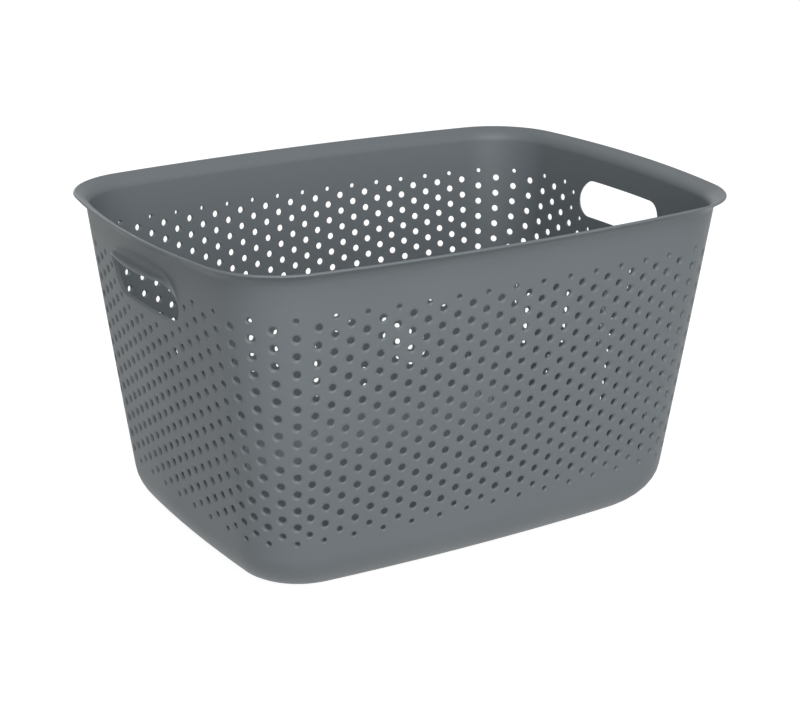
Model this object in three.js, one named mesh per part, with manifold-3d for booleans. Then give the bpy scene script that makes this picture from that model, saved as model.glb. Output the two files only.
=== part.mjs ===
// A perforated storage basket, moulded in one piece of grey polypropylene.
// Millimetres, +Z up, the floor plane at z = 0, +X towards the right handle.
// The moulding is built as its named regions, which meet face to face on shared points.
import * as THREE from "three";
import { mergeVertices } from "three/addons/utils/BufferGeometryUtils.js";
import Module from "manifold-3d";

const manifold = await Module();
manifold.setup();

// Outline of the walls, given at the floor plane and at the rim; the wall between them is straight
const height = 214.7;
const floorHalfLength = 154;
const rimHalfLength = 183.6;
const floorHalfWidth = 105.2;
const rimHalfWidth = 132.9;
const floorCornerRadius = 35.4;
const rimCornerRadius = 45.7;
const floorSideBowRadius = 1560; // the long sides bulge a little
const rimSideBowRadius = 1268;
const floorEndBowRadius = 1022; // and so do the ends
const rimEndBowRadius = 500;

// The shell
const wallThickness = 2.2;
const bottomEdgeRadius = 30.2; // the floor turns up into the walls on this radius
const footCornerRadius = 35; // corner of the flat floor, in plan
const flareOverhang = 6.8; // how far the rim turns out beyond the wall line
const flareRadius = 6; // it turns out on this radius and ends in a straight lip
const flareDegrees = 57; // tilt of that lip from the vertical
const lipCrown = 0.7; // rounding of the rim's edge

// Columns of the perforation, counted from the middle of the front. Those of the sides and ends
// stand evenly and stop this far short of the outline's full half-length or half-width
const sideColumnCount = 13; // from the middle of a side to its corner
const cornerColumnCount = 6;
const endColumnCount = 7;
const floorSideMargin = 27.2;
const rimSideMargin = 54.8;
const floorEndMargin = 33.2;
const rimEndMargin = 62.4;

// Rows of the perforation, downwards from the top one; every other column drops by one row step
const topRowDrop = 30.5; // from the rim
const rowStep = 5.5;
const bottomRowGap = 11; // above the floor's turned-up edge

// A hole is dished on the outside. The moulding has one on each odd or even crossing of row and
// column; here one in four is cut, at twice the size, which leaves the wall equally open
const coarsening = 2;
const dishDiameter = 6.4;
const holeDiameter = 4.6;
const edgeRowShare = 0.62; // the top and bottom rows have smaller holes
const holeSides = 6;
const cutOverrun = 1;

// The hand slots
const slotHalfWidth = 44.2;
const slotDrop = 23.8; // from the rim
const slotHeight = 26.3;
const slotCornerRadius = 12.5; // its ends are almost half round
const slotMargin = 14; // plain wall below the slot
const slotLand = 4; // the least land between a hole's dish and the slot
const gripDepth = 6.8; // the slot's top edge turns out by this much at its middle
const gripHeight = 7;
const gripHalfWidth = 44;
const gripRoundness = 0.6; // 0.5 is an ellipse in plan, 1 a parabola

// Fineness of the curves
const bottomEdgeSteps = 5;
const flareSteps = 3;
const slotCornerSteps = 4;
const gripSteps = 10;

const grey = new THREE.Color(0x6e7377);
const quarterTurn = Math.PI / 2;
const cornerFirstColumn = sideColumnCount;
const cornerLastColumn = cornerFirstColumn + cornerColumnCount;
const endMiddleColumn = cornerLastColumn + endColumnCount;
const columnsAround = 4 * endMiddleColumn;

const flareAngle = THREE.MathUtils.degToRad(flareDegrees);
const lipLength =
  (flareOverhang - flareRadius * (1 - Math.cos(flareAngle))) / Math.sin(flareAngle);
const flareStart =
  height -
  (flareRadius + wallThickness) * Math.sin(flareAngle) -
  lipLength * Math.cos(flareAngle);
const slotTop = height - slotDrop;
const slotBottom = slotTop - slotHeight;
const handleStart = slotBottom - slotMargin;
const topRowHeight = height - topRowDrop;
const lastRow =
  coarsening *
  Math.round((topRowHeight - bottomEdgeRadius - bottomRowGap) / (coarsening * rowStep));

const mix = THREE.MathUtils.lerp;

// One quarter of the outline at height z, moved in by inset: three arcs tangent to each other
function quarterOutline(z, inset) {
  const rise = z / height;
  const cornerShare = (floorCornerRadius - footCornerRadius) / bottomEdgeRadius;
  const halfLength = mix(floorHalfLength, rimHalfLength, rise) - inset;
  const halfWidth = mix(floorHalfWidth, rimHalfWidth, rise) - inset;
  const corner =
    mix(floorCornerRadius, rimCornerRadius, rise) - (inset > 0 ? inset * cornerShare : inset);
  const sideBow = 1 / mix(1 / floorSideBowRadius, 1 / rimSideBowRadius, rise) - inset;
  const endBow = 1 / mix(1 / floorEndBowRadius, 1 / rimEndBowRadius, rise) - inset;
  const sideCentre = new THREE.Vector2(0, sideBow - halfWidth);
  const endCentre = new THREE.Vector2(halfLength - endBow, 0);

  // The corner's centre lies where both bows, less the corner radius, cross
  const between = endCentre.clone().sub(sideCentre);
  const span = between.length();
  const fromSide = sideBow - corner;
  const fromEnd = endBow - corner;
  const along = (fromSide ** 2 - fromEnd ** 2 + span ** 2) / (2 * span);
  const across = Math.sqrt(fromSide ** 2 - along ** 2);
  between.normalize();
  const cornerCentre = sideCentre.clone().addScaledVector(between, along);
  cornerCentre.add(new THREE.Vector2(-between.y, between.x).multiplyScalar(across));

  const sideEnd = cornerCentre.clone().sub(sideCentre).angle() - 4 * quarterTurn;
  const endStart = cornerCentre.clone().sub(endCentre).angle() - 4 * quarterTurn;
  return [
    { centre: sideCentre, radius: sideBow, from: -quarterTurn, to: sideEnd },
    { centre: cornerCentre, radius: corner, from: sideEnd, to: endStart },
    { centre: endCentre, radius: endBow, from: endStart, to: 0 },
  ];
}

function outlineLength(arcs) {
  return arcs.reduce((sum, arc) => sum + arc.radius * (arc.to - arc.from), 0);
}

function pointOnOutline(arcs, distance) {
  let left = distance;
  for (const arc of arcs) {
    const length = arc.radius * (arc.to - arc.from);
    if (left <= length || arc === arcs[arcs.length - 1]) {
      const angle = arc.from + left / arc.radius;
      return new THREE.Vector2(Math.cos(angle), Math.sin(angle))
        .multiplyScalar(arc.radius)
        .add(arc.centre);
    }
    left -= length;
  }
}

function sideColumnPitch(z) {
  const run = mix(floorHalfLength - floorSideMargin, rimHalfLength - rimSideMargin, z / height);
  return run / sideColumnCount;
}

function endColumnPitch(z) {
  const run = mix(floorHalfWidth - floorEndMargin, rimHalfWidth - rimEndMargin, z / height);
  return run / endColumnCount;
}

// How far along the quarter a column stands: parallel columns on the sides, a fan in the corner
function columnDistance(column, z, length) {
  const onSide = (c) => c * sideColumnPitch(z);
  const onEnd = (c) => length - (endMiddleColumn - c) * endColumnPitch(z);
  if (column <= cornerFirstColumn) return onSide(column);
  if (column >= cornerLastColumn) return onEnd(column);
  const share = (column - cornerFirstColumn) / cornerColumnCount;
  return mix(onSide(cornerFirstColumn), onEnd(cornerLastColumn), share);
}

// A point of the shell: a column anywhere round the basket, a height, and an inset from the face
function shellPoint(column, z, inset) {
  const around = ((column % columnsAround) + columnsAround) % columnsAround;
  const quarter = Math.floor(around / endMiddleColumn);
  const folded =
    quarter % 2 ? (quarter + 1) * endMiddleColumn - around : around - quarter * endMiddleColumn;
  const wallLine = outlineLength(quarterOutline(z, 0));
  const share = columnDistance(folded, z, wallLine) / wallLine;
  const arcs = quarterOutline(z, inset);
  const point = pointOnOutline(arcs, share * outlineLength(arcs));
  const right = quarter < 2 ? 1 : -1;
  const back = quarter === 1 || quarter === 2 ? -1 : 1;
  return new THREE.Vector3(right * point.x, back * point.y, z);
}

function outwardNormal(column, z) {
  const along = shellPoint(column + 1, z, 0).sub(shellPoint(column - 1, z, 0));
  const up = shellPoint(column, z + rowStep, 0).sub(shellPoint(column, z - rowStep, 0));
  return along.cross(up).normalize();
}

function bodyFrom(points, faces) {
  const geometry = new THREE.BufferGeometry().setFromPoints(points);
  geometry.setIndex(faces.flat());
  return geometry;
}

// Sweeps a section round a run of columns. The section's outer and inner lines go upwards with
// the same number of points, and crown, if any, is a point that rounds its top edge
function sweepBand(columns, sectionAt) {
  const points = [];
  const faces = [];
  let count = 0;
  let levels = 0;
  let crowned = false;
  for (const column of columns) {
    const { outer, inner, crown } = sectionAt(column);
    const loop = [...outer, ...(crown ? [crown] : []), ...inner.toReversed()];
    points.push(...loop.map(({ z, inset }) => shellPoint(column, z, inset)));
    count = loop.length;
    levels = outer.length;
    crowned = Boolean(crown);
  }
  for (let k = 0; k + 1 < columns.length; k++)
    for (let j = 0; j < count; j++) {
      const a = k * count + j;
      const b = k * count + ((j + 1) % count);
      faces.push([a, a + count, b + count], [a, b + count, b]);
    }
  const cap = (start, flip) => {
    const add = (a, b, c) =>
      faces.push([a, ...(flip ? [c, b] : [b, c])].map((corner) => start + corner));
    for (let j = 0; j + 1 < levels; j++) {
      add(j, j + 1, count - 2 - j);
      add(j, count - 2 - j, count - 1 - j);
    }
    if (crowned) add(levels - 1, levels, levels + 1);
  };
  cap(0, false);
  cap((columns.length - 1) * count, true);
  return bodyFrom(points, faces);
}

function evenSteps(from, to, steps) {
  return Array.from({ length: steps + 1 }, (_, k) => mix(from, to, k / steps));
}

// Sections of the shell, from the floor upwards
function bottomEdgeSection() {
  const arc = (radius) =>
    evenSteps(0, quarterTurn, bottomEdgeSteps).map((angle) => ({
      inset: bottomEdgeRadius - radius * Math.sin(angle),
      z: bottomEdgeRadius - radius * Math.cos(angle),
    }));
  return { outer: arc(bottomEdgeRadius), inner: arc(bottomEdgeRadius - wallThickness) };
}

function wallSection(...heights) {
  return {
    outer: heights.map((z) => ({ inset: 0, z })),
    inner: heights.map((z) => ({ inset: wallThickness, z })),
  };
}

function rimSection() {
  const at = (radius, angle, onwards) => ({
    inset: radius * Math.cos(angle) - flareRadius - onwards * Math.sin(angle),
    z: flareStart + radius * Math.sin(angle) + onwards * Math.cos(angle),
  });
  const line = (radius) => [
    ...evenSteps(0, flareAngle, flareSteps).map((angle) => at(radius, angle, 0)),
    at(radius, flareAngle, lipLength),
  ];
  return {
    outer: line(flareRadius),
    inner: line(flareRadius + wallThickness),
    crown: at(flareRadius + wallThickness / 2, flareAngle, lipLength + lipCrown),
  };
}

// Joining and cutting
function toSolid(geometry) {
  const plain = geometry.clone();
  plain.deleteAttribute("normal");
  plain.deleteAttribute("uv");
  const merged = mergeVertices(plain);
  return new manifold.Manifold(
    new manifold.Mesh({
      numProp: 3,
      vertProperties: merged.attributes.position.array,
      triVerts: new Uint32Array(merged.index.array),
    }),
  );
}

function toGeometry(solid) {
  const { vertProperties, triVerts, numProp } = solid.getMesh();
  const positions = new Float32Array((vertProperties.length / numProp) * 3);
  for (let v = 0; v * 3 < positions.length; v++)
    positions.set(vertProperties.subarray(v * numProp, v * numProp + 3), v * 3);
  const geometry = new THREE.BufferGeometry();
  geometry.setAttribute("position", new THREE.BufferAttribute(positions, 3));
  return geometry.setIndex(new THREE.BufferAttribute(triVerts, 1));
}

// One dished hole: a cone from the dish on the outer face through the bore on the inner one
function holeCutter({ column, z, share }) {
  const dish = (coarsening * dishDiameter * share) / 2;
  const bore = (coarsening * holeDiameter * share) / 2;
  const taper = (dish - bore) / wallThickness;
  const depth = dish / taper + cutOverrun;
  const cutter = new THREE.ConeGeometry(dish + taper * cutOverrun, depth, holeSides);
  const inward = outwardNormal(column, z).negate();
  const turn = new THREE.Quaternion().setFromUnitVectors(new THREE.Vector3(0, 1, 0), inward);
  const middle = shellPoint(column, z, 0).addScaledVector(inward, depth / 2 - cutOverrun);
  return toSolid(cutter.applyQuaternion(turn).translate(middle.x, middle.y, middle.z));
}

// The slot's outline, seen along X
function slotCutter(side) {
  const shape = new THREE.Shape();
  const y = slotHalfWidth - slotCornerRadius;
  const upper = slotTop - slotCornerRadius;
  const lower = slotBottom + slotCornerRadius;
  [[y, upper], [-y, upper], [-y, lower], [y, lower]].forEach((centre, k) =>
    shape.absarc(...centre, slotCornerRadius, k * quarterTurn, (k + 1) * quarterTurn, false),
  );
  const reach = 2 * (gripDepth + wallThickness + flareOverhang + cutOverrun);
  const cutter = new THREE.ExtrudeGeometry(shape, {
    depth: 2 * reach,
    bevelEnabled: false,
    curveSegments: slotCornerSteps,
  });
  const alongX = new THREE.Matrix4().makeBasis(
    new THREE.Vector3(0, 1, 0),
    new THREE.Vector3(0, 0, 1),
    new THREE.Vector3(1, 0, 0),
  );
  const wall = shellPoint(side * endMiddleColumn, slotBottom, 0).x;
  return toSolid(cutter.applyMatrix4(alongX).translate(wall - reach, 0, 0));
}

// The slot's top edge turns out into a lip that fades away at both ends
function gripLip(middleColumn) {
  const halfColumns = gripHalfWidth / endColumnPitch(slotTop);
  const columns = evenSteps(middleColumn - halfColumns, middleColumn + halfColumns, gripSteps);
  const lipShares = [
    { out: 0, up: 1 },
    { out: 0.14, up: 0.64 },
    { out: 0.42, up: 0.42 },
    { out: 1, up: 0.3 },
    { out: 1, up: -0.1 },
  ];
  return sweepBand(columns, (column) => {
    const away = Math.abs(column - middleColumn) / halfColumns;
    const swell = Math.max(1 - away ** 2, 0) ** gripRoundness * gripDepth;
    const outer = lipShares.map(({ out, up }) => ({
      inset: -out * swell,
      z: slotTop + up * gripHeight,
    }));
    const inner = lipShares.map(({ up }) => ({
      inset: wallThickness / 2,
      z: slotTop + up * gripHeight,
    }));
    return { outer: outer.reverse(), inner: inner.reverse() };
  });
}

function distanceToSlot(column, z) {
  const beside = Math.max(Math.abs(shellPoint(column, z, 0).y) - slotHalfWidth, 0);
  const below = Math.max(slotBottom - z, 0);
  return Math.hypot(beside, below);
}

function holesBetween(firstColumn, lastColumn, from, to) {
  const holes = [];
  const reach = (coarsening * dishDiameter) / 2;
  for (let column = Math.ceil(firstColumn); column <= lastColumn; column++)
    for (let row = 0; row <= lastRow; row++) {
      const [c, r] = [column / coarsening, row / coarsening];
      if (!Number.isInteger(c) || !Number.isInteger(r) || (c + r) % 2) continue;
      const z = topRowHeight - row * rowStep;
      const share = row === 0 || row === lastRow ? edgeRowShare : 1;
      if (z - share * reach < from || z + share * reach > to) continue;
      if (distanceToSlot(column, z) < share * reach + slotLand) continue;
      holes.push({ column, z, share });
    }
  return holes;
}

function cutHoles(solid, holes) {
  return holes.reduce((body, hole) => body.subtract(holeCutter(hole)), solid);
}

// The regions round the basket, and the columns at their facets' edges, which pass between holes
const side = [-sideColumnCount, -7, -1, 1, 7, sideColumnCount];
const end = [-endColumnCount, -5, -1, 1, 5, endColumnCount];
const corner = [0, 0.35, 1.65, 2.35, 3.65, 4.35, 5.65, cornerColumnCount];
const from = (start, columns) => columns.map((column) => start + column);
const regions = [
  { name: "front", columns: side },
  { name: "front_right_corner", columns: from(sideColumnCount, corner) },
  { name: "right", columns: from(endMiddleColumn, end), handle: 1 },
  { name: "back_right_corner", columns: from(endMiddleColumn + endColumnCount, corner) },
  { name: "back", columns: from(2 * endMiddleColumn, side) },
  { name: "back_left_corner", columns: from(2 * endMiddleColumn + sideColumnCount, corner) },
  { name: "left", columns: from(3 * endMiddleColumn, end), handle: -1 },
  { name: "front_left_corner", columns: from(3 * endMiddleColumn + endColumnCount, corner) },
];

function wallOf({ columns, handle }) {
  const top = handle ? handleStart : flareStart;
  const heights = handle ? [bottomEdgeRadius, top] : [bottomEdgeRadius, handleStart, top];
  const band = sweepBand(columns, () => wallSection(...heights));
  const holes = holesBetween(columns[0], columns[columns.length - 1], bottomEdgeRadius, top);
  return toGeometry(cutHoles(toSolid(band), holes));
}

function handleOf({ columns, handle }) {
  const middle = columns[0] / 2 + columns[columns.length - 1] / 2;
  const band = sweepBand(columns, () => wallSection(handleStart, flareStart));
  const holes = holesBetween(columns[0], columns[columns.length - 1], handleStart, flareStart);
  const withLip = toSolid(band).add(toSolid(gripLip(middle)));
  return toGeometry(cutHoles(withLip.subtract(slotCutter(handle)), holes));
}

// The flat floor: two outlines, each filled from its middle, joined by a narrow edge
function floorPanel() {
  const columns = regions.flatMap((region) => region.columns.slice(0, -1));
  const faces = [];
  const count = columns.length;
  const under = columns.map((column) => shellPoint(column, 0, bottomEdgeRadius));
  const upper = columns.map((column) => shellPoint(column, wallThickness, bottomEdgeRadius));
  const middles = [new THREE.Vector3(0, 0, 0), new THREE.Vector3(0, 0, wallThickness)];
  for (let k = 0; k < count; k++) {
    const next = (k + 1) % count;
    faces.push([k, next, count + k], [next, count + next, count + k]);
    faces.push([next, k, 2 * count], [count + k, count + next, 2 * count + 1]);
  }
  return bodyFrom([...under, ...upper, ...middles], faces);
}

const basket = new THREE.Group();
basket.name = "basket";

function addRegion(name, geometry) {
  const finish = new THREE.MeshStandardMaterial({ color: grey, roughness: 0.55, metalness: 0 });
  const mesh = new THREE.Mesh(geometry, finish);
  mesh.name = name;
  basket.add(mesh);
}

addRegion("base_panel", floorPanel());
for (const region of regions) {
  const isCorner = region.name.endsWith("corner");
  addRegion(`${region.name}_bottom_edge`, sweepBand(region.columns, bottomEdgeSection));
  addRegion(isCorner ? region.name : `${region.name}_wall`, wallOf(region));
  if (region.handle) addRegion(`${region.name}_handle`, handleOf(region));
  addRegion(`${region.name}_rim`, sweepBand(region.columns, rimSection));
}

export default basket;
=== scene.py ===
import math

import bmesh
import bpy
import numpy as np
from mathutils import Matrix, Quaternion, Vector
from mathutils.geometry import delaunay_2d_cdt


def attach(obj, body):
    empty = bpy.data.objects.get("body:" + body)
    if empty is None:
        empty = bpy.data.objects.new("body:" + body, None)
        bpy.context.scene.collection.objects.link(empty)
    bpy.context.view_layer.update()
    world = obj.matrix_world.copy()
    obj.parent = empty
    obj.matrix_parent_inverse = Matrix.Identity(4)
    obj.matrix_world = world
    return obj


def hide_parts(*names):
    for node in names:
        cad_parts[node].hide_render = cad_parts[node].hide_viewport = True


# A perforated storage basket in grey polypropylene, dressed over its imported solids.
# Sizes are in millimetres until a mesh is placed, when they become metres.
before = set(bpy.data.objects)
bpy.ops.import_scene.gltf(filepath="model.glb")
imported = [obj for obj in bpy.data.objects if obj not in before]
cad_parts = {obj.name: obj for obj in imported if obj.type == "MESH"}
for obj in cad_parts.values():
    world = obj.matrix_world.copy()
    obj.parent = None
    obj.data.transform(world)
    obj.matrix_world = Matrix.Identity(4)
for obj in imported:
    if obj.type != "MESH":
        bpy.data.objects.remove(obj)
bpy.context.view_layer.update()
mm = 0.001

# The shell's outline at the floor plane and at the rim, and its section
basket = {
    "height": 214.7,
    "halfLength": (154.0, 183.6),  # floor, rim
    "halfWidth": (105.2, 132.9),
    "cornerRadius": (35.4, 45.7),
    "sideBowRadius": (1560.0, 1268.0),
    "endBowRadius": (1022.0, 500.0),
    "wall": 2.2,
    "edgeRadius": 30.2,  # where the floor turns up into the walls
    "footCornerRadius": 35.0,
    "edgeSteps": 10,  # faces round that turn
}

# Every skin has its points at quarters of a column, so that neighbours share them
columnStep = 0.25
acrossColumn = (-0.5, -0.25, 0, 0.25, 0.5)

# What a face of a wall belongs to
outerSkin = 1
innerSkin = 2
cutWall = 0


def between(pair, rise):
    return pair[0] + (pair[1] - pair[0]) * rise


# Three arcs tangent to each other make a quarter of the outline: side, corner, end.
# Each is (centre x, centre y, radius, start angle, end angle), all of them arrays
def quarterArcs(z, inset):
    rise = z / basket["height"]
    share = (basket["cornerRadius"][0] - basket["footCornerRadius"]) / basket["edgeRadius"]
    halfLength = between(basket["halfLength"], rise) - inset
    halfWidth = between(basket["halfWidth"], rise) - inset
    corner = between(basket["cornerRadius"], rise) - np.where(inset > 0, inset * share, inset)
    side = 1 / between([1 / r for r in basket["sideBowRadius"]], rise) - inset
    end = 1 / between([1 / r for r in basket["endBowRadius"]], rise) - inset
    sideY = side - halfWidth
    endX = halfLength - end
    span = np.hypot(endX, sideY)
    along = ((side - corner) ** 2 - (end - corner) ** 2 + span**2) / (2 * span)
    across = np.sqrt((side - corner) ** 2 - along**2)
    ux, uy = endX / span, -sideY / span
    cornerX = ux * along - uy * across
    cornerY = sideY + uy * along + ux * across
    sideEnd = np.arctan2(cornerY - sideY, cornerX)
    endStart = np.arctan2(cornerY, cornerX - endX)
    zero = np.zeros_like(span)
    return (
        (zero, sideY, side, zero - math.pi / 2, sideEnd),
        (cornerX, cornerY, corner, sideEnd, endStart),
        (endX, zero, end, endStart, zero),
    )


def arcLengths(arcs):
    return [radius * (stop - start) for _, _, radius, start, stop in arcs]


# The lattice of holes: columns stand about 10 mm apart, and every other one is lowered by
# half a row pitch
lattice = {
    "sideColumns": 13,
    "cornerColumns": 6,
    "endColumns": 7,
    "sideRun": (126.8, 128.8),  # from the middle of a side to its last straight column
    "endRun": (72.0, 70.5),
    # Columns into the corner, and how far round it they stand at the floor and at the rim
    "cornerFan": ((0, 1, 3, 5, 6), (0, 0.126, 0.490, 0.808, 1), (0, 0.189, 0.522, 0.869, 1)),
    "rows": 14,
    "rowPitch": 11.0,
    "topRow": 184.2,
    "mergeGap": 0.01,  # between tiles
}
columnsPerQuarter = lattice["sideColumns"] + lattice["cornerColumns"] + lattice["endColumns"]


# Distance along the quarter at which a column stands, on the wall's own outline
def columnDistance(column, z, length):
    rise = z / basket["height"]
    sideRun = between(lattice["sideRun"], rise)
    endRun = between(lattice["endRun"], rise)
    onSide = column / lattice["sideColumns"] * sideRun
    onEnd = length - (columnsPerQuarter - column) / lattice["endColumns"] * endRun
    places, low, high = lattice["cornerFan"]
    inCorner = column - lattice["sideColumns"]
    share = between((np.interp(inCorner, places, low), np.interp(inCorner, places, high)), rise)
    fan = sideRun + share * (length - endRun - sideRun)
    lastCorner = lattice["sideColumns"] + lattice["cornerColumns"]
    return np.where(
        column <= lattice["sideColumns"], onSide, np.where(column >= lastCorner, onEnd, fan)
    )


# Points of the shell in millimetres, from a column anywhere round it, a height and an inset
def shellPoint(column, z, inset):
    column, z, inset = np.broadcast_arrays(*(np.asarray(a, float) for a in (column, z, inset)))
    around = np.mod(column, 4 * columnsPerQuarter)
    quarter = np.floor(around / columnsPerQuarter)
    inQuarter = around - quarter * columnsPerQuarter
    folded = np.where(quarter % 2 == 1, columnsPerQuarter - inQuarter, inQuarter)
    wallLength = sum(arcLengths(quarterArcs(z, np.zeros_like(z))))
    arcs = quarterArcs(z, inset)
    lengths = arcLengths(arcs)
    left = columnDistance(folded, z, wallLength) / wallLength * sum(lengths)
    x = np.zeros_like(z)
    y = np.zeros_like(z)
    done = np.zeros(z.shape, bool)
    for k, (centreX, centreY, radius, start, _) in enumerate(arcs):
        here = ~done & ((left <= lengths[k]) | (k == 2))
        angle = start + left / radius
        x = np.where(here, centreX + radius * np.cos(angle), x)
        y = np.where(here, centreY + radius * np.sin(angle), y)
        done |= here
        left = left - lengths[k]
    x = np.where(quarter >= 2, -x, x)
    y = np.where((quarter == 1) | (quarter == 2), -y, y)
    return np.stack([x, y, z], axis=-1)


# Unit normals of the surface that pointAt(column, t) makes, by small differences
def surfaceNormals(pointAt, column, t, sign):
    step = 0.02  # in columns and in millimetres
    acrossWall = pointAt(column + step, t) - pointAt(column - step, t)
    upWall = pointAt(column, t + step) - pointAt(column, t - step)
    normal = np.cross(acrossWall, upWall) * sign
    return normal / np.linalg.norm(normal, axis=-1, keepdims=True)


def newObject(name, data):
    obj = bpy.data.objects.new(name, data)
    bpy.context.scene.collection.objects.link(obj)
    return obj


sharpEdge = 40  # degrees; a surface that turns more shows a crease


# A closed mesh in metres. normals holds one normal per face corner, or zeros where the
# corner keeps the one that Blender works out
def finishedMesh(name, points, faces, normals):
    mesh = bpy.data.meshes.new(name)
    mesh.from_pydata((np.asarray(points) * mm).tolist(), [], faces)
    mesh.polygons.foreach_set("use_smooth", [True] * len(mesh.polygons))
    mesh.set_sharp_from_angle(angle=math.radians(sharpEdge))
    mesh.normals_split_custom_set(normals)
    mesh.update()
    return mesh


def addNode(tree, kind, inputs=None, **settings):
    node = tree.nodes.new(kind)
    for name, value in settings.items():
        setattr(node, name, value)
    for socket, value in (inputs or {}).items():
        if isinstance(value, bpy.types.NodeSocket):
            tree.links.new(value, node.inputs[socket])
        else:
            node.inputs[socket].default_value = value
    return node


hole = {
    "sides": 12,
    # A shallow dish in the outer face, a short throat and a widening inside: radius, depth
    "rings": ((3.75, 0.0), (3.4, 0.06), (2.8, 0.28), (2.3, 0.65), (2.2, 1.35), (2.45, 2.2)),
    "smallShare": 0.66,  # top and bottom rows, and beside the hand slots
    "mediumShare": 0.8,  # the lowest hole of the lowered columns
    "tileWidth": 10.0,  # a column as the tile is drawn
}


# The four edges of a tile, walked anticlockwise, in columns and millimetres
def tileEdge():
    half = lattice["rowPitch"] / 2
    top = [(x, half) for x in reversed(acrossColumn)]
    return [(0.5, 0), *top, (-0.5, 0), *((-x, -y) for x, y in top)]


# A tile of wall, one column wide and one pitch high, with a dished hole through it
def holeTile():
    edge = tileEdge()
    sides = hole["sides"]
    points = [(x, y, 0) for x, y in edge]
    ringMark = [0.0] * len(points)
    for radius, depth in hole["rings"]:
        for k in range(sides):
            turn = 2 * math.pi * k / sides
            x = radius * math.cos(turn) / hole["tileWidth"]
            points.append((x, radius * math.sin(turn), -depth))
            ringMark.append(1.0)
    points += [(x, y, -basket["wall"]) for x, y in edge]
    ringMark += [0.0] * len(edge)
    faces = []
    skins = []
    loops = len(points) // sides
    for level in range(loops - 1):
        for k in range(sides):
            a, b = level * sides + k, level * sides + (k + 1) % sides
            faces.append((a, b, b + sides, a + sides))
            skin = {0: outerSkin, loops - 2: innerSkin}.get(level, cutWall)
            skins.append(skin)
    return tileObject("holeTile", points, faces, ringMark, skins)


# Half a tile without a hole, above or below the lowered columns
def halfTile():
    quarter = lattice["rowPitch"] / 4
    points = []
    faces = []
    skins = []
    for skin, depth in ((outerSkin, 0), (innerSkin, -basket["wall"])):
        start = len(points)
        points += [(x, y, depth) for y in (-quarter, quarter) for x in acrossColumn]
        for k in range(4):
            a = start + k
            face = (a, a + 1, a + 6, a + 5)
            faces.append(face if skin == outerSkin else face[::-1])
            skins.append(skin)
    return tileObject("halfTile", points, faces, [0.0] * len(points), skins)


def tileObject(name, points, faces, ringMark, skins):
    mesh = bpy.data.meshes.new(name)
    mesh.from_pydata(points, [], faces)
    mesh.attributes.new("ringMark", "FLOAT", "POINT").data.foreach_set("value", ringMark)
    mesh.attributes.new("skin", "INT", "FACE").data.foreach_set("value", skins)
    return newObject(name, mesh)


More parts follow.
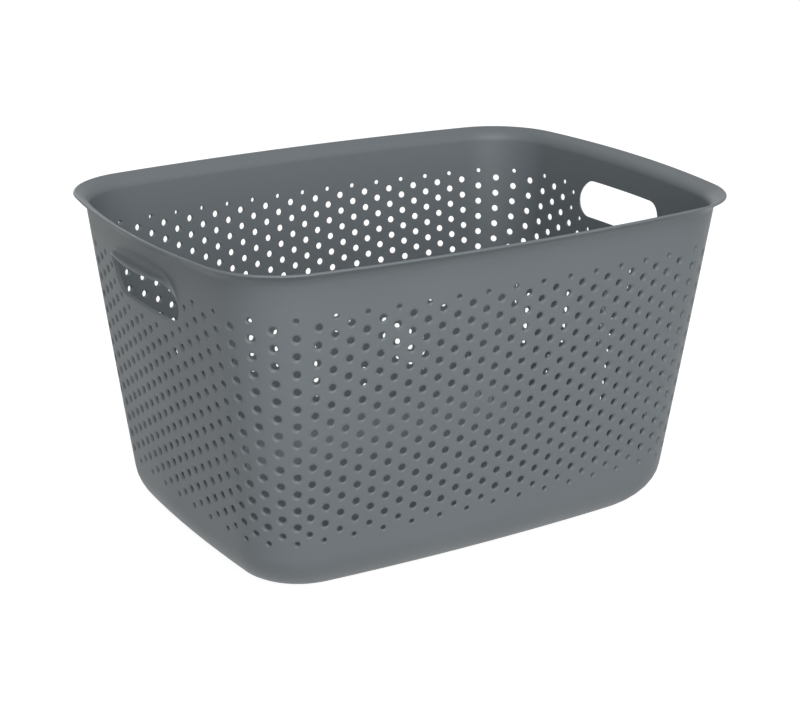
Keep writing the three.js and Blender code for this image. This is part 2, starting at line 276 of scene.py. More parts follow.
# Geometry Nodes set the tiles out in staggered columns, flat: x counts columns, y is the height
def latticeTree():
    tree = bpy.data.node_groups.new("staggeredHoles", "GeometryNodeTree")
    sockets = {
        "First Column": "NodeSocketInt",
        "Columns": "NodeSocketInt",
        "Rows": "NodeSocketInt",
        "Row Pitch": "NodeSocketFloat",
        "Top Row": "NodeSocketFloat",
        "Small Share": "NodeSocketFloat",
        "Medium Share": "NodeSocketFloat",
        "Slot Column": "NodeSocketInt",
        "Window Columns": "NodeSocketFloat",
        "Window Bottom": "NodeSocketFloat",
        "Merge Gap": "NodeSocketFloat",
        "Hole Tile": "NodeSocketObject",
        "Half Tile": "NodeSocketObject",
        "Material": "NodeSocketMaterial",
    }
    for name, kind in sockets.items():
        tree.interface.new_socket(name=name, in_out="INPUT", socket_type=kind)
    tree.interface.new_socket(name="Sheet", in_out="OUTPUT", socket_type="NodeSocketGeometry")
    known = {socket.name: socket for socket in addNode(tree, "NodeGroupInput").outputs}
    known["index"] = addNode(tree, "GeometryNodeInputIndex").outputs[0]

    # The layout's sums in turn: a name, the operation, and names or numbers that go in
    sums = (
        # which column and row each point stands for
        ("perColumn", "ADD", "Rows", 1),
        ("halfOn", "ADD", "index", 0.5),
        ("columnsBefore", "DIVIDE", "halfOn", "perColumn"),
        ("step", "FLOOR", "columnsBefore"),
        ("pointsBefore", "MULTIPLY", "step", "perColumn"),
        ("row", "SUBTRACT", "index", "pointsBefore"),
        ("column", "ADD", "First Column", "step"),
        ("lowered", "FLOORED_MODULO", "column", 2),
        ("raised", "SUBTRACT", 1, "lowered"),
        ("lastRow", "SUBTRACT", "Rows", 1),
        # lowered columns stand half a pitch down, with half a tile at either end
        ("halfDown", "SUBTRACT", "row", 0.5),
        ("belowTop", "MAXIMUM", "halfDown", -0.25),
        ("lowest", "ADD", "lastRow", 0.25),
        ("loweredRow", "MINIMUM", "belowTop", "lowest"),
        ("raisedPlace", "MULTIPLY", "raised", "row"),
        ("loweredPlace", "MULTIPLY", "lowered", "loweredRow"),
        ("place", "ADD", "raisedPlace", "loweredPlace"),
        ("drop", "MULTIPLY", "place", "Row Pitch"),
        ("height", "SUBTRACT", "Top Row", "drop"),
        ("isFirst", "LESS_THAN", "row", 0.5),
        ("isLast", "COMPARE", "row", "lastRow", 0.1),
        ("afterLast", "ADD", "lastRow", 0.5),
        ("isPast", "GREATER_THAN", "row", "afterLast"),
        ("isAnEnd", "MAXIMUM", "isFirst", "isPast"),
        ("isHalf", "MULTIPLY", "lowered", "isAnEnd"),
        # smaller holes in the outermost rows
        ("isOuter", "MAXIMUM", "isFirst", "isLast"),
        ("isSmall", "MULTIPLY", "raised", "isOuter"),
        ("isMedium", "MULTIPLY", "lowered", "isLast"),
        ("smallLoss", "SUBTRACT", 1, "Small Share"),
        ("mediumLoss", "SUBTRACT", 1, "Medium Share"),
        ("lessSmall", "MULTIPLY", "isSmall", "smallLoss"),
        ("lessMedium", "MULTIPLY", "isMedium", "mediumLoss"),
        ("sizeLeft", "SUBTRACT", 1, "lessSmall"),
        ("holeSize", "SUBTRACT", "sizeLeft", "lessMedium"),
        # no tiles past the end of a raised column, or in the window left for a hand slot
        ("aside", "SUBTRACT", "column", "Slot Column"),
        ("fromSlot", "ABSOLUTE", "aside"),
        ("nearSlot", "LESS_THAN", "fromSlot", "Window Columns"),
        ("highEnough", "GREATER_THAN", "height", "Window Bottom"),
        ("inWindow", "MULTIPLY", "nearSlot", "highEnough"),
        ("raisedPast", "MULTIPLY", "raised", "isPast"),
        ("leftOut", "MAXIMUM", "inWindow", "raisedPast"),
        ("keep", "SUBTRACT", 1, "leftOut"),
        ("keepHalf", "MULTIPLY", "keep", "isHalf"),
        ("isWhole", "SUBTRACT", 1, "isHalf"),
        ("keepHole", "MULTIPLY", "keep", "isWhole"),
        ("count", "MULTIPLY", "Columns", "perColumn"),
    )
    for name, operation, *values in sums:
        inputs = {k: known.get(value, value) for k, value in enumerate(values)}
        known[name] = addNode(tree, "ShaderNodeMath", inputs, operation=operation).outputs[0]

    centre = addNode(tree, "ShaderNodeCombineXYZ", {"X": known["column"], "Y": known["height"]})
    points = addNode(
        tree,
        "GeometryNodePoints",
        {"Count": known["count"], "Position": centre.outputs[0]},
    ).outputs[0]
    for name, value in (("cellHeight", "height"), ("holeSize", "holeSize")):
        points = addNode(
            tree,
            "GeometryNodeStoreNamedAttribute",
            {"Geometry": points, "Name": name, "Value": known[value]},
            data_type="FLOAT",
            domain="POINT",
        ).outputs[0]
    joined = addNode(tree, "GeometryNodeJoinGeometry")
    for tileName, chosen in (("Hole Tile", "keepHole"), ("Half Tile", "keepHalf")):
        tile = addNode(
            tree, "GeometryNodeObjectInfo", {"Object": known[tileName], "As Instance": True}
        ).outputs["Geometry"]
        placed = addNode(
            tree,
            "GeometryNodeInstanceOnPoints",
            {"Points": points, "Selection": known[chosen], "Instance": tile},
        ).outputs[0]
        tree.links.new(placed, joined.inputs[0])
    real = addNode(tree, "GeometryNodeRealizeInstances", {"Geometry": joined.outputs[0]})
    merged = addNode(
        tree,
        "GeometryNodeMergeByDistance",
        {"Geometry": real.outputs[0], "Distance": known["Merge Gap"]},
    )
    finish = addNode(
        tree,
        "GeometryNodeSetMaterial",
        {"Geometry": merged.outputs[0], "Material": known["Material"]},
    )
    addNode(tree, "NodeGroupOutput", {0: finish.outputs[0]})
    return tree


def flatLattice(tree, tiles, material, firstColumn, columns, slotColumn):
    carrier = newObject("latticeCarrier", bpy.data.meshes.new("latticeCarrier"))
    modifier = carrier.modifiers.new("holes", "NODES")
    modifier.node_group = tree
    values = {
        "First Column": firstColumn,
        "Columns": columns,
        "Rows": lattice["rows"],
        "Row Pitch": lattice["rowPitch"],
        "Top Row": lattice["topRow"],
        "Small Share": hole["smallShare"],
        "Medium Share": hole["mediumShare"],
        "Slot Column": slotColumn,
        "Window Columns": slot["windowColumns"],
        "Window Bottom": slot["windowBottom"],
        "Merge Gap": lattice["mergeGap"],
        "Hole Tile": tiles[0],
        "Half Tile": tiles[1],
        "Material": material,
    }
    for item in tree.interface.items_tree:
        if item.in_out == "INPUT":
            modifier[item.identifier] = values[item.name]
    graph = bpy.context.evaluated_depsgraph_get()
    flat = bpy.data.meshes.new_from_object(
        carrier.evaluated_get(graph), preserve_all_data_layers=True, depsgraph=graph
    )
    carrier.modifiers.remove(modifier)
    bpy.data.objects.remove(carrier)
    return flat


# The tiles stay flat until bentMesh. A flat sheet lists its points as (column, height, inset)
# and its faces with the skin that each belongs to
def sheetFromLattice(flat):
    count = len(flat.vertices)
    place = np.empty(count * 3, np.float32)
    flat.vertices.foreach_get("co", place)
    x, y, z = place.reshape(-1, 3).astype(float).T

    def read(name, size, kind):
        values = np.empty(size, kind)
        flat.attributes[name].data.foreach_get("value", values)
        return values

    onRing = read("ringMark", count, np.float32) > 0.5
    cellHeight = read("cellHeight", count, np.float32).astype(float)
    size = read("holeSize", count, np.float32).astype(float)
    cell = np.round(x)
    ahead = shellPoint(cell + 0.5, cellHeight, 0)
    pitch = np.linalg.norm(ahead - shellPoint(cell - 0.5, cellHeight, 0), axis=1)
    ringX = cell + (x - cell) * hole["tileWidth"] * size / pitch
    ringY = cellHeight + (y - cellHeight) * size
    points = np.stack([np.where(onRing, ringX, x), np.where(onRing, ringY, y), -z], axis=1)
    faces = [tuple(face.vertices) for face in flat.polygons]
    skins = read("skin", len(flat.polygons), np.int32).tolist()
    return {"points": points.tolist(), "faces": faces, "skins": skins}


# Plain strips between two levels, four faces to a column, to run beside the tiles
def plainStrip(firstColumn, lastColumn, levels):
    columns = np.arange(firstColumn, lastColumn + columnStep / 2, columnStep)
    points = []
    faces = []
    skins = []
    for skin, inset in ((outerSkin, 0), (innerSkin, basket["wall"])):
        start = len(points)
        points += [(column, z, inset) for z in levels for column in columns]
        for i in range(len(levels) - 1):
            for k in range(len(columns) - 1):
                a = start + i * len(columns) + k
                face = (a, a + 1, a + 1 + len(columns), a + len(columns))
                faces.append(face if skin == outerSkin else face[::-1])
                skins.append(skin)
    return {"points": points, "faces": faces, "skins": skins}


def joinSheets(*sheets):
    points = []
    faces = []
    skins = []
    for sheet in sheets:
        start = len(points)
        points += sheet["points"]
        faces += [tuple(start + k for k in face) for face in sheet["faces"]]
        skins += sheet["skins"]
    return {"points": points, "faces": faces, "skins": skins}


flatSheet = {
    "rise": 10,  # millimetres of height that measure as much as one column
    "mergeGap": 0.002,
    "spots": (8, 40),  # finest steps that tell two points of a rim apart
}


# Merges a sheet's shared points and closes its rims between the outer and the inner skin
def closedSheet(sheet):
    rise = flatSheet["rise"]

    def spot(vert):
        return tuple(round(vert.co[k] * flatSheet["spots"][k]) for k in (0, 1))

    bm = bmesh.new()
    skinLayer = bm.faces.layers.int.new("skin")
    verts = [bm.verts.new((p[0], p[1] / rise, p[2])) for p in sheet["points"]]
    for face, skin in zip(sheet["faces"], sheet["skins"]):
        bm.faces.new([verts[k] for k in face])[skinLayer] = skin
    bmesh.ops.remove_doubles(bm, verts=bm.verts, dist=flatSheet["mergeGap"])
    inner = {}
    for vert in bm.verts:
        if vert.co.z > basket["wall"] / 2:
            inner[spot(vert)] = vert
    boundary = [edge for edge in bm.edges if edge.is_boundary]
    for edge in [e for e in boundary if e.link_faces[0][skinLayer] == outerSkin]:
        loop = edge.link_loops[0]
        start, stop = loop.vert, loop.link_loop_next.vert
        bm.faces.new([stop, start, inner[spot(start)], inner[spot(stop)]])[skinLayer] = cutWall
    bm.verts.index_update()
    points = np.array([(v.co.x, v.co.y * rise, v.co.z) for v in bm.verts])
    faces = [tuple(v.index for v in face.verts) for face in bm.faces]
    skins = [face[skinLayer] for face in bm.faces]
    loose = sum(1 for e in bm.edges if not e.is_manifold)
    bm.free()
    return points, faces, skins, loose


# Bends a closed sheet round the basket, with the true wall's normals on its two skins
def bentMesh(name, sheet):
    points, faces, skins, loose = closedSheet(sheet)
    placed = shellPoint(points[:, 0], points[:, 1], points[:, 2])

    def outerFace(column, z):
        return shellPoint(column, z, 0)

    def innerFace(column, z):
        return shellPoint(column, z, basket["wall"])

    outward = surfaceNormals(outerFace, points[:, 0], points[:, 1], 1)
    inward = surfaceNormals(innerFace, points[:, 0], points[:, 1], -1)
    normals = []
    for face, skin in zip(faces, skins):
        source = {outerSkin: outward, innerSkin: inward}.get(skin)
        normals += [(0, 0, 0) if source is None else tuple(source[k]) for k in face]
    print("  ", name, len(points), "points,", loose, "open edges")
    return finishedMesh(name, placed, faces, normals)


slot = {
    "halfWidth": 44.2,
    "bottom": 164.7,
    "top": 190.8,
    "endRadius": 12.6,
    "windowColumns": 5.5,  # half the width of the panel that holds the slot
    "windowBottom": 153.8,
    "windowSteps": 6,  # half pitches that it reaches below the top row
    "lipReach": 6.8,  # how far the top edge turns out, at its middle
    "lipRoundness": 0.6,
    "endSteps": 8,  # round a quarter of an end
    "edgeSteps": 24,  # along a straight edge
    # Holes beside it: columns from its middle, half pitches below the top row, whether small
    "holes": (
        (-5, 1, True),
        (-5, 3, True),
        (5, 1, True),
        (5, 3, True),
        (-5, 5, False),
        (5, 5, False),
        (-4, 4, True),
        (4, 4, True),
        (-3, 5, True),
        (-1, 5, True),
        (1, 5, True),
        (3, 5, True),
    ),
    # Points inside the panel's skins, which keep their triangles even
    "gridHeights": (157.0, 204.0, 3.0),
    "gridHalfWidth": 54.0,
    "gridStep": 4.0,
    "gridGap": 2.0,  # least distance from a hole or an edge
    # Rings from the outer face to the inner one, at the plain edge and at the lip: offset from
    # the outline at the plain edge, the same at the lip, depth, share of the lip's reach
    "rings": (
        (1.8, 7.0, 0.0, 0.0),
        (1.7, 5.6, 0.0, 0.03),
        (1.6, 4.4, 0.0, 0.12),
        (1.5, 3.3, 0.0, 0.29),
        (1.4, 2.5, 0.0, 0.52),
        (1.3, 1.9, 0.0, 0.78),
        (1.2, 1.5, 0.0, 0.94),
        (1.1, 0.9, 0.0, 1.0),
        (1.0, -0.4, 0.0, 1.0),
        (0.9, -0.9, 0.0, 0.94),
        (0.3, -1.0, 0.25, 0.8),
        (0.0, -0.5, 0.9, 0.4),
        (-0.7, -0.6, 1.9, 0.0),
        (-0.4, -0.3, 2.2, 0.0),
    ),
}


# A ring round a slot, anticlockwise seen from outside, and the reach of its lip at each point
def slotRing(plainOffset, lipOffset):
    radius = slot["endRadius"]
    x = slot["halfWidth"] - radius
    upper, lower = slot["top"] - radius, slot["bottom"] + radius
    endSteps, edgeSteps = slot["endSteps"], slot["edgeSteps"]
    turns = []
    for k, (middleX, middleZ) in enumerate(((x, upper), (-x, upper), (-x, lower), (x, lower))):
        for step in range(endSteps + 1):
            turns.append((middleX, middleZ, (k + step / endSteps) * math.pi / 2))
        if k % 2 == 0:
            last = turns[-1][2]
            for step in range(1, edgeSteps):
                turns.append((middleX * (1 - 2 * step / edgeSteps), middleZ, last))
    loop = []
    reach = []
    for middleX, middleZ, angle in turns:
        away = (middleX + radius * math.cos(angle)) / slot["halfWidth"]
        share = max(1 - away**2, 0) ** slot["lipRoundness"] if math.sin(angle) > 0 else 0
        distance = radius + between((plainOffset, lipOffset), share)
        loop.append(
            (middleX + distance * math.cos(angle), middleZ + distance * math.sin(angle))
        )
        reach.append(slot["lipReach"] * share)
    return loop, reach


# The boundary of the window that the lattice leaves round a slot, through the tiles' corners
def windowOutline():
    half = slot["windowColumns"]
    step = lattice["rowPitch"] / 2
    low = lattice["topRow"] - slot["windowSteps"] * step
    levels = [low + k * step for k in range(1, slot["windowSteps"] + 1)]
    levels += list(topLevels[:-1])
    top = topLevels[-1]
    points = []
    for column in np.arange(-half + 0.5, half, 1):
        floorLine = low if round(column) % 2 else low + step
        points += [(column + x, floorLine) for x in acrossColumn]
    points += [(half, z) for z in levels]
    points += [(x, top) for x in np.arange(half, -half - columnStep / 2, -columnStep)]
    points += [(-half, z) for z in reversed(levels)]
    return points


def inPolygon(x, y, polygon):
    inside = np.zeros(x.shape, bool)
    count = len(polygon)
    for k in range(count):
        (x1, y1), (x2, y2) = polygon[k], polygon[(k + 1) % count]
        crosses = (y1 > y) != (y2 > y)
        inside ^= crosses & (x < (x2 - x1) * (y - y1) / (y2 - y1 + 1e-12) + x1)
    return inside


# The panel round a slot, as a flat sheet: two skins with holes, the slot's edge and its lip
def slotPanel(slotColumn):
    endPitch = lattice["endRun"][0] / lattice["endColumns"]
    window = [(x * endPitch, z) for x, z in windowOutline()]
    step = lattice["rowPitch"] / 2
    top = lattice["topRow"]
    sides = hole["sides"]

    def ring(x, z, radius):
        turns = [2 * math.pi * k / sides for k in range(sides)]
        return [(x + radius * math.cos(a), z + radius * math.sin(a)) for a in turns]

    points = []
    faces = []
    skins = []

    def addLoop(loop, insets):
        start = len(points)
        points.extend(
            (slotColumn + x / endPitch, z, inset) for (x, z), inset in zip(loop, insets)
        )
        return list(range(start, start + len(loop)))

    def addSkin(skin, loops, indices, extra, inset):
        flat = [Vector(p) for loop in loops for p in loop] + [Vector(p) for p in extra]
        edges = []
        first = 0
        for loop in loops:
            edges += [(first + k, first + (k + 1) % len(loop)) for k in range(len(loop))]
            first += len(loop)
        made, _, triangles, origins, _, _ = delaunay_2d_cdt(flat, edges, [], 0, 1e-5)
        known = [index for loop in indices for index in loop]
        start = len(points)
        points.extend((slotColumn + x / endPitch, z, inset) for x, z in extra)
        known += list(range(start, start + len(extra)))
        look = [known[origin[0]] for origin in origins]
        centres = np.array([[sum(made[k][i] for k in t) / 3 for i in (0, 1)] for t in triangles])
        keep = inPolygon(centres[:, 0], centres[:, 1], loops[0])
        for loop in loops[1:]:
            keep &= ~inPolygon(centres[:, 0], centres[:, 1], loop)
        for triangle, wanted in zip(triangles, keep):
            if not wanted:
                continue
            a, b, c = (made[k] for k in triangle)
            turn = (b - a).cross(c - a)
            face = [look[k] for k in triangle]
            if (turn > 0) != (skin == outerSkin):
                face.reverse()
            faces.append(tuple(face))
            skins.append(skin)

    def wallBetween(outer, inner):
        for k in range(len(outer)):
            n = (k + 1) % len(outer)
            faces.append((outer[k], outer[n], inner[n], inner[k]))
            skins.append(cutWall)

    # Loops through the thickness, from the outer skin to the inner one
    cuts = []
    for column, down, isSmall in slot["holes"]:
        x = column * endPitch
        z = top - down * step
        size = hole["smallShare"] if isSmall else 1
        rings = [(ring(x, z, radius * size), [depth] * sides) for radius, depth in hole["rings"]]
        cuts.append(rings)
    rings = []
    for plainOffset, lipOffset, depth, share in slot["rings"]:
        loop, reach = slotRing(plainOffset, lipOffset)
        rings.append((loop, [depth - share * out for out in reach]))
    cuts.append(rings)
    firstLoops = []
    lastLoops = []
    for cut in cuts:
        indices = [addLoop(loop, insets) for loop, insets in cut]
        for outer, inner in zip(indices, indices[1:]):
            wallBetween(outer, inner)
        firstLoops.append((cut[0][0], indices[0]))
        lastLoops.append((cut[-1][0], indices[-1]))

    extra = []
    reach, gridStep = slot["gridHalfWidth"], slot["gridStep"]
    for row, z in enumerate(np.arange(*slot["gridHeights"])):
        shift = row % 2 * gridStep / 2
        extra += [(x + shift, z) for x in np.arange(-reach, reach + gridStep / 2, gridStep)]
    extra = np.array(extra)

    def clear(loops):
        keep = inPolygon(extra[:, 0], extra[:, 1], loops[0])
        for loop in loops[1:]:
            keep &= ~inPolygon(extra[:, 0], extra[:, 1], loop)
        edgePoints = np.array([p for loop in loops for p in loop])
        away = np.linalg.norm(extra[:, None] - edgePoints[None], axis=2).min(axis=1)
        return extra[keep & (away > slot["gridGap"])].tolist()

    outerLoops = [window] + [loop for loop, _ in firstLoops]
    innerLoops = [window] + [loop for loop, _ in lastLoops]
    outerWindow = addLoop(window, [0] * len(window))
    innerWindow = addLoop(window, [basket["wall"]] * len(window))
    outerIndices = [outerWindow] + [indices for _, indices in firstLoops]
    innerIndices = [innerWindow] + [indices for _, indices in lastLoops]
    addSkin(outerSkin, outerLoops, outerIndices, clear(outerLoops), 0)
    addSkin(innerSkin, innerLoops, innerIndices, clear(innerLoops), basket["wall"])
    return {"points": points, "faces": faces, "skins": skins}


# Sweeps a closed section of points in order, each (height, inset, heading), where the heading
# is the way the surface runs there: 0 is up and a quarter turn is outward
def sweptMesh(name, firstColumn, lastColumn, section):
    columns = np.arange(firstColumn, lastColumn + columnStep / 2, columnStep)
    count = len(section)
    column = np.repeat(columns, count)
    z, inset, heading = np.tile(np.array(section), (len(columns), 1)).T
    placed = shellPoint(column, z, inset)
    faces = []
    normals = []

    def pointAt(column, t):
        return shellPoint(column, z + t * np.cos(heading), inset - t * np.sin(heading))

    outward = surfaceNormals(pointAt, column, 0.0, 1)
    for k in range(len(columns) - 1):
        for j in range(count):
            n = (j + 1) % count
            face = (k * count + j, (k + 1) * count + j, (k + 1) * count + n, k * count + n)
            faces.append(face)
            flatFace = j == count - 1
            normals += [(0, 0, 0) if flatFace else tuple(outward[i]) for i in face]
    last = (len(columns) - 1) * count
    faces.append(tuple(range(count)))
    faces.append(tuple(last + j for j in reversed(range(count))))
    normals += [(0, 0, 0)] * (2 * count)
    return finishedMesh(name, placed, faces, normals)


rim = {
    "flareRadius": 6.0,  # on the outer face; past it the lip runs on straight
    "lipTilt": 57,  # degrees from the vertical
    "overhang": 6.8,
    "flareSteps": 7,
    "edgeWall": 1.75,  # the lip thins towards its edge
    "edgeRounds": (0.4, 0.9),  # underside, inside
    "edgeSteps": 3,
}
lipTilt = math.radians(rim["lipTilt"])
lipLength = rim["overhang"] - rim["flareRadius"] * (1 - math.cos(lipTilt))
lipLength /= math.sin(lipTilt)
flareStart = basket["height"] - lipLength * math.cos(lipTilt)
flareStart -= (rim["flareRadius"] + basket["wall"]) * math.sin(lipTilt)


# The flared rim's section, up the outside, round the lip's edge and down the inside
def rimSection():
    radius = rim["flareRadius"]
    inner = radius + basket["wall"]
    thin = radius + rim["edgeWall"]

    def at(fromCentre, angle, onwards):
        z = flareStart + fromCentre * math.sin(angle) + onwards * math.cos(angle)
        return z, fromCentre * math.cos(angle) - radius - onwards * math.sin(angle)

    angles = [lipTilt * k / rim["flareSteps"] for k in range(rim["flareSteps"] + 1)]
    outside = [(*at(radius, a, 0), a) for a in angles]
    inside = [(*at(between((inner, thin), a / lipTilt), a, 0), a + math.pi) for a in angles]
    edge = []
    under, top = rim["edgeRounds"]
    for centre, soft, start in ((radius + under, under, 0), (thin - top, top, math.pi / 2)):
        for k in range(rim["edgeSteps"] + 1):
            turn = start + math.pi / 2 * k / rim["edgeSteps"]
            onwards = lipLength - soft + soft * math.sin(turn)
            edge.append((*at(centre - soft * math.cos(turn), lipTilt, onwards), lipTilt - turn))
    return outside + edge + inside[::-1]


# The turned-up edge of the floor, up the outside and down the inside
def edgeSection():
    radius = basket["edgeRadius"]
    wall = basket["wall"]
    steps = basket["edgeSteps"]
    angles = [math.pi / 2 * k / steps for k in range(steps + 1)]
    faces = []
    for reach, turn in ((radius, 0), (radius - wall, math.pi)):
        face = []
        for angle in angles:
            z = radius - reach * math.cos(angle)
            inset = radius - reach * math.sin(angle)
            face.append((z, inset, math.pi / 2 - angle + turn))
        faces.append(face)
    return faces[0] + faces[1][::-1]


# The flat floor, with a vertex wherever the turned-up edge has one
def floorMesh(name):
    columns = np.arange(0, 4 * columnsPerQuarter, columnStep)
    count = len(columns)
    under = shellPoint(columns, 0, basket["edgeRadius"])
    upper = shellPoint(columns, basket["wall"], basket["edgeRadius"])
    points = np.concatenate([under, upper])
    faces = [tuple(reversed(range(count))), tuple(range(count, 2 * count))]
    faces += [(k, (k + 1) % count, count + (k + 1) % count, count + k) for k in range(count)]
    mesh = bpy.data.meshes.new(name)
    mesh.from_pydata((points * mm).tolist(), [], faces)
    return mesh


def linearColour(hexColour):
    channels = [int(hexColour[k : k + 2], 16) / 255 for k in (0, 2, 4)]
    return [c / 12.92 if c <= 0.04045 else ((c + 0.055) / 1.055) ** 2.4 for c in channels] + [1]


# Injection-moulded polypropylene: a mid grey with a satin, finely grained skin, whose tone
# and gloss drift a little where the melt flowed
plastic = {
    "colour": "6d7478",
    "patchColour": "697074",
    "patchSize": 60,
    "patchDetail": 3.0,
    "roughness": (0.46, 0.56),
    "grainSize": 0.7,  # the real grain is about 0.1 mm, drawn coarser so that it shows
    "grainDetail": 2.0,
    "grainDepth": 0.05,
    "grainStrength": 0.6,
    "ior": 1.49,
}


def polypropylene():
    material = bpy.data.materials.new("mouldedPolypropylene")
    material.use_nodes = True
    tree = material.node_tree
    shader = tree.nodes["Principled BSDF"]
    place = addNode(tree, "ShaderNodeTexCoord").outputs["Object"]
    patchScale = 1 / (plastic["patchSize"] * mm)
    patches = addNode(
        tree,
        "ShaderNodeTexNoise",
        {"Vector": place, "Scale": patchScale, "Detail": plastic["patchDetail"]},
    ).outputs["Fac"]
    mainColour = linearColour(plastic["colour"])
    patchColour = linearColour(plastic["patchColour"])
    colour = addNode(
        tree, "ShaderNodeMix", {"Factor": patches, 6: mainColour, 7: patchColour}, data_type="RGBA"
    ).outputs[2]
    tree.links.new(colour, shader.inputs["Base Color"])
    smoothest, roughest = plastic["roughness"]
    rough = addNode(
        tree, "ShaderNodeMapRange", {"Value": patches, "To Min": smoothest, "To Max": roughest}
    ).outputs[0]
    tree.links.new(rough, shader.inputs["Roughness"])
    grainScale = 1 / (plastic["grainSize"] * mm)
    grain = addNode(
        tree,
        "ShaderNodeTexNoise",
        {"Vector": place, "Scale": grainScale, "Detail": plastic["grainDetail"]},
    ).outputs["Fac"]
    depth = plastic["grainDepth"] * mm
    bump = addNode(
        tree,
        "ShaderNodeBump",
        {"Height": grain, "Distance": depth, "Strength": plastic["grainStrength"]},
    ).outputs[0]
    tree.links.new(bump, shader.inputs["Normal"])
    shader.inputs["IOR"].default_value = plastic["ior"]
    return material


def addPiece(name, mesh, material, *nodes):
    mesh.materials.clear()
    mesh.materials.append(material)
    piece = newObject(name, mesh)
    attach(piece, "root")
    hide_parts(*nodes)
    return piece


# Eight runs round the basket, each from a first column to a last one, and then the floor
halfSide = lattice["sideColumns"] + 0.5
halfEnd = lattice["endColumns"] + 0.5
quarter = columnsPerQuarter
runs = (
    ("front", -halfSide, halfSide),
    ("front_right_corner", halfSide, quarter - halfEnd),
    ("right", quarter - halfEnd, quarter + halfEnd),
    ("back_right_corner", quarter + halfEnd, 2 * quarter - halfSide),
    ("back", 2 * quarter - halfSide, 2 * quarter + halfSide),
    ("back_left_corner", 2 * quarter + halfSide, 3 * quarter - halfEnd),
    ("left", 3 * quarter - halfEnd, 3 * quarter + halfEnd),
    ("front_left_corner", 3 * quarter + halfEnd, 4 * quarter - halfSide),
)
noSlot = -1000  # a column that no run reaches

plasticSkin = polypropylene()
print("plastic made")
tiles = (holeTile(), halfTile())
staggeredHoles = latticeTree()
print("lattice of holes set up")
latticeTop = lattice["topRow"] + lattice["rowPitch"] / 2
latticeBottom = latticeTop - lattice["rows"] * lattice["rowPitch"]
topLevels = np.linspace(latticeTop, flareStart, 3)
bottomLevels = np.linspace(basket["edgeRadius"], latticeBottom, 2)

for name, first, last in runs:
    hasSlot = name in ("left", "right")
    slotColumn = round((first + last) / 2) if hasSlot else noSlot
    firstColumn, columns = round(first + 0.5), round(last - first)
    flat = flatLattice(staggeredHoles, tiles, plasticSkin, firstColumn, columns, slotColumn)
    sheets = [sheetFromLattice(flat), plainStrip(first, last, bottomLevels)]
    if hasSlot:
        half = slot["windowColumns"]
        sheets.append(plainStrip(first, slotColumn - half, topLevels))
        sheets.append(plainStrip(slotColumn + half, last, topLevels))
        sheets.append(slotPanel(slotColumn))
    else:
        sheets.append(plainStrip(first, last, topLevels))
    nodes = [name if "corner" in name else name + "_wall"]
    if hasSlot:
        nodes.append(name + "_handle")
    wallMesh = bentMesh(name + "_skin", joinSheets(*sheets))
    addPiece(name + "_skin", wallMesh, plasticSkin, *nodes)
    rimMesh = sweptMesh(name + "_lip", first, last, rimSection())
    addPiece(name + "_lip", rimMesh, plasticSkin, name + "_rim")
    edgeMesh = sweptMesh(name + "_turn", first, last, edgeSection())
    addPiece(name + "_turn", edgeMesh, plasticSkin, name + "_bottom_edge")
for tile in tiles:
    bpy.data.objects.remove(tile)
addPiece("floor_panel", floorMesh("floor_panel"), plasticSkin, "base_panel")
print("basket made")

# The camera stands where the photograph was taken from
view = {
    "azimuth": -31.981,
    "elevation": 19.245,
    "roll": 0.377,
    "distance": 1233.4,
    "target": (0.57, 0, 103.41),
    "lens": 85.38,
    "sensorWidth": 36,
}
cameraData = bpy.data.cameras.new("camera")
cameraData.lens = view["lens"]
cameraData.sensor_width = view["sensorWidth"]
cameraData.sensor_fit = "HORIZONTAL"
camera = newObject("camera", cameraData)
azimuth, elevation = math.radians(view["azimuth"]), math.radians(view["elevation"])
back = Vector(
    (
        math.sin(azimuth) * math.cos(elevation),
        -math.cos(azimuth) * math.cos(elevation),
        math.sin(elevation),
    )
)
camera.location = (Vector(view["target"]) + back * view["distance"]) * mm
roll = Quaternion((0, 0, 1), math.radians(view["roll"]))
camera.rotation_euler = (back.to_track_quat("Z", "Y") @ roll).to_euler()
bpy.context.scene.camera = camera
print("camera set")

# A plain studio: a white sweep and four soft boxes, two near the camera, one to its right and
# a weak one behind the basket
studio = {
    "floorReach": 4.0,
    "floorColour": "c0c0c0",
    "floorGlow": 0.94,  # what the camera sees of the floor before any light on it
    "floorPaper": 0.35,  # and the share of the light on it that the camera sees it send back
    "worldStrength": 0.12,
    "aim": (0, 0, 0.1),
    "lamps": (
        ("key", (-0.65, -1.47, 2.02), 1.4, 33),
        ("low", (-0.81, -2.22, 0.91), 1.2, 15),
        ("fill", (0.35, -2.46, 0.36), 1.2, 11),
        ("behind", (0.4, 2.4, 0.8), 1.4, 9),
    ),
}


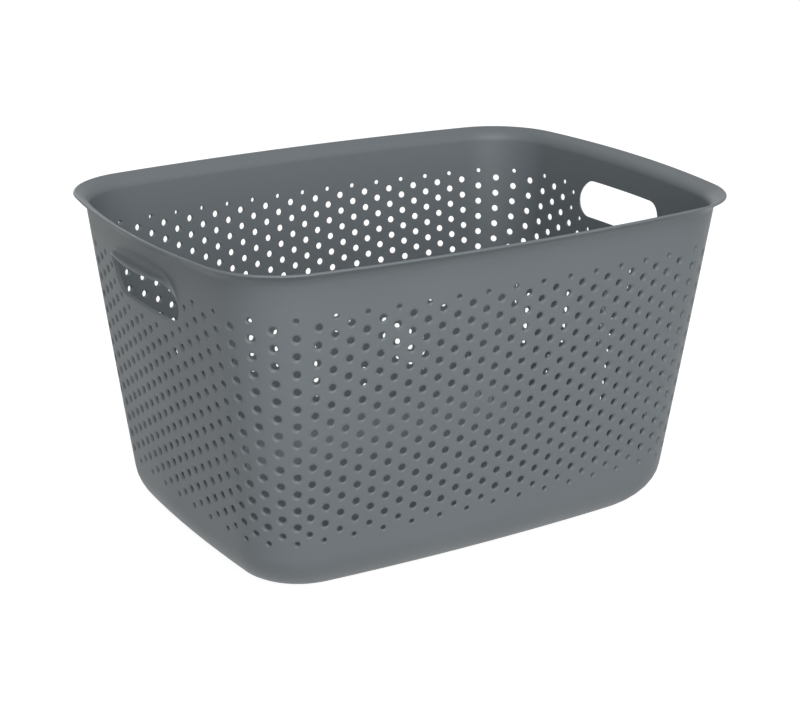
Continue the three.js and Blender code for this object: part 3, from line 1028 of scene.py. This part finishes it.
def seenDirectly(tree):
    rays = addNode(tree, "ShaderNodeLightPath").outputs
    seen = rays["Is Camera Ray"]
    for ray in ("Is Glossy Ray", "Is Transmission Ray"):
        seen = addNode(
            tree, "ShaderNodeMath", {0: seen, 1: rays[ray]}, operation="MAXIMUM"
        ).outputs[0]
    return seen


# White to the camera, yet the shadow still shows in what light it adds
floorMaterial = bpy.data.materials.new("whiteSweep")
floorMaterial.use_nodes = True
floorTree = floorMaterial.node_tree
floorTree.nodes.clear()
white = [1, 1, 1, 1]
paperColour = linearColour(studio["floorColour"])
paper = addNode(floorTree, "ShaderNodeBsdfDiffuse", {"Color": paperColour}).outputs[0]
seenColour = [studio["floorPaper"]] * 3 + [1]
seenPaper = addNode(floorTree, "ShaderNodeBsdfDiffuse", {"Color": seenColour}).outputs[0]
glow = addNode(
    floorTree, "ShaderNodeEmission", {"Color": white, "Strength": studio["floorGlow"]}
).outputs[0]
seen = addNode(floorTree, "ShaderNodeAddShader", {0: glow, 1: seenPaper}).outputs[0]
direct = seenDirectly(floorTree)
floorMix = addNode(floorTree, "ShaderNodeMixShader", {0: direct, 1: paper, 2: seen})
addNode(floorTree, "ShaderNodeOutputMaterial", {"Surface": floorMix.outputs[0]})
floorData = bpy.data.meshes.new("floor")
reach = studio["floorReach"]
corners = [(-reach, -reach, 0), (reach, -reach, 0), (reach, reach, 0), (-reach, reach, 0)]
floorData.from_pydata(corners, [], [(0, 1, 2, 3)])
floorData.materials.append(floorMaterial)
floor = newObject("floor", floorData)

world = bpy.data.worlds.new("softWorld")
bpy.context.scene.world = world
world.use_nodes = True
worldTree = world.node_tree
strength = addNode(
    worldTree,
    "ShaderNodeMapRange",
    {"Value": seenDirectly(worldTree), "To Min": studio["worldStrength"], "To Max": 1.0},
).outputs[0]
background = worldTree.nodes["Background"]
background.inputs["Color"].default_value = white
worldTree.links.new(strength, background.inputs["Strength"])

for name, place, size, power in studio["lamps"]:
    lampData = bpy.data.lights.new(name, "AREA")
    lampData.shape = "SQUARE"
    lampData.size = size
    lampData.energy = power
    lamp = newObject(name, lampData)
    lamp.location = place
    away = Vector(place) - Vector(studio["aim"])
    lamp.rotation_euler = away.to_track_quat("Z", "Y").to_euler()

bpy.context.scene.view_settings.view_transform = "Standard"
print("studio made")
